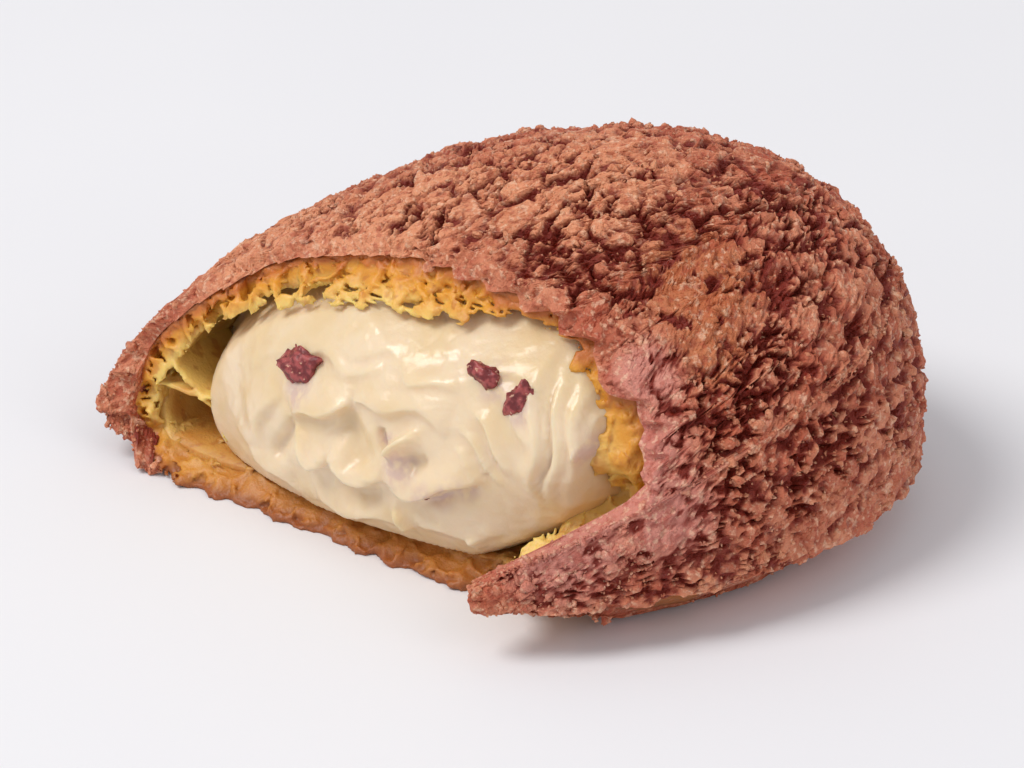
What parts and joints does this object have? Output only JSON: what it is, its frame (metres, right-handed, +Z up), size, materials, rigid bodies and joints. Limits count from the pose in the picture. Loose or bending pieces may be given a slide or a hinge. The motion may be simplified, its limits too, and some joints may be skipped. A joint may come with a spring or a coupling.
{
  "type": "cream puff",
  "caption": "Cream puff with a crumbly cookie crust, torn open along one side so that its thick filling of cream shows; rests on its flat base.",
  "frame": {"origin": "on the flat base, under the middle of the puff's widest level, at table height", "axes": "+Z up; +X along the longest side, towards the steep, full end; the torn side faces -X and -Y"},
  "size_m": [0.084, 0.0708, 0.0381],
  "materials": {
    "crust": "dry, crumbly baked cookie dough, pinkish brown",
    "choux": "porous baked choux, golden yellow, browned at its skin",
    "cream": "smooth moist custard cream, pale ivory",
    "bits": "soft dark red pieces sunk in the cream"
  },
  "bodies": {
    "root": {"cookie_crust": "crust", "choux_shell": "choux", "cream_filling": "cream"}
  },
  "joints": []
}
